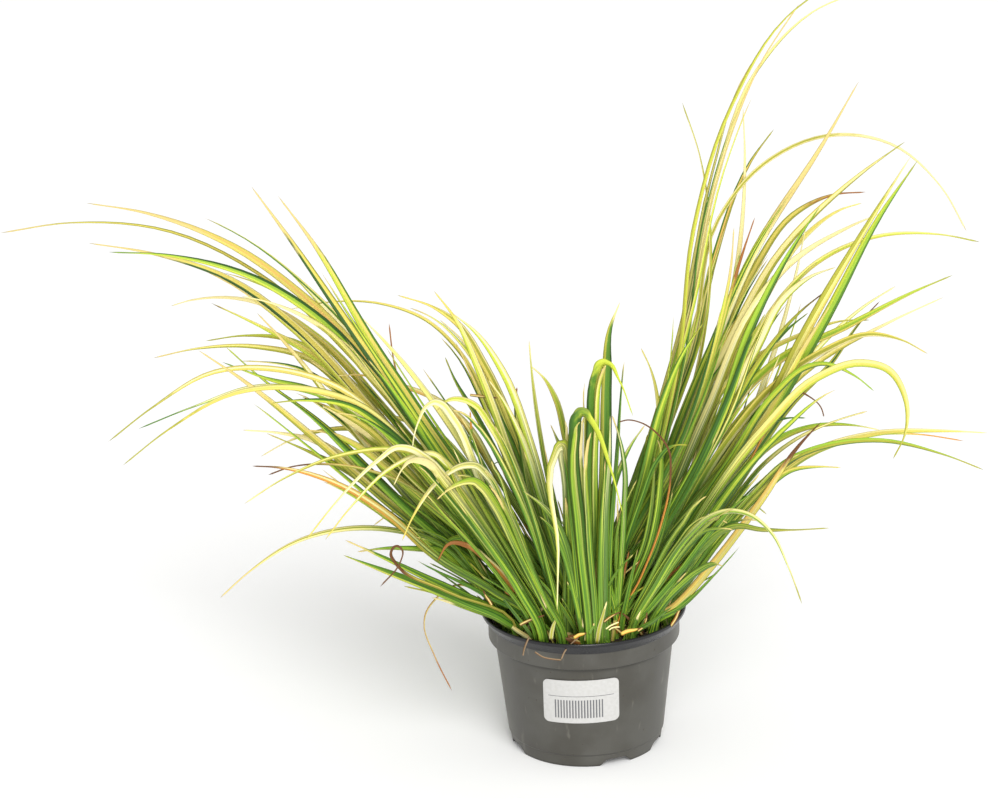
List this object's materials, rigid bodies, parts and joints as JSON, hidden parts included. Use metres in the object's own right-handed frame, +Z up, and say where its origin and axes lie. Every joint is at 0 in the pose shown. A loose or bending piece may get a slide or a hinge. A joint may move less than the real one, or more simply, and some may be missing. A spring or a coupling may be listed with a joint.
{
  "type": "potted grass-like plant",
  "caption": "Potted sweet flag: fans of narrow green and yellow striped leaves arch out of a round grey plastic nursery pot with a blank label.",
  "frame": {"origin": "on the pot's axis, on the surface that the pot stands on, in the middle of the flat disc of its floor between the drainage channels", "axes": "+Z up along the pot's axis, +X to the right and +Y away from a person who faces the label"},
  "size_m": [0.4982, 0.2562, 0.3871],
  "materials": {
    "pot_plastic": "satin warm grey outside, darker and shinier inside",
    "peat": "matt dark brown peat with fine white grains",
    "label_paper": "matt white with plain grey bars",
    "leaf": "satin leaf blade, striped green and yellow along its length, tan where it has dried"
  },
  "bodies": {
    "root": {"back_shoot_01": "leaf", "back_shoot_02": "leaf", "back_shoot_03": "leaf", "back_shoot_04": "leaf", "back_shoot_05": "leaf", "label": "label_paper", "left_shoot_01": "leaf", "left_shoot_02": "leaf", "left_shoot_03": "leaf", "left_shoot_04": "leaf", "left_shoot_05": "leaf", "left_shoot_06": "leaf", "left_shoot_07": "leaf", "left_shoot_08": "leaf", "left_shoot_09": "leaf", "left_shoot_10": "leaf", "left_shoot_11": "leaf", "left_shoot_12": "leaf", "left_shoot_13": "leaf", "left_shoot_14": "leaf", "middle_shoot_01": "leaf", "middle_shoot_02": "leaf", "middle_shoot_03": "leaf", "middle_shoot_04": "leaf", "middle_shoot_05": "leaf", "middle_shoot_06": "leaf", "middle_shoot_07": "leaf", "middle_shoot_08": "leaf", "middle_shoot_09": "leaf", "middle_shoot_10": "leaf", "middle_shoot_11": "leaf", "pot": "pot_plastic", "right_shoot_01": "leaf", "right_shoot_02": "leaf", "right_shoot_03": "leaf", "right_shoot_04": "leaf", "right_shoot_05": "leaf", "right_shoot_06": "leaf", "right_shoot_07": "leaf", "right_shoot_08": "leaf", "right_shoot_09": "leaf", "right_shoot_10": "leaf", "right_shoot_11": "leaf", "right_shoot_12": "leaf", "right_shoot_13": "leaf", "right_shoot_14": "leaf", "right_shoot_15": "leaf", "right_shoot_16": "leaf", "right_shoot_17": "leaf", "right_shoot_18": "leaf", "right_shoot_19": "leaf", "soil": "peat"}
  },
  "joints": []
}
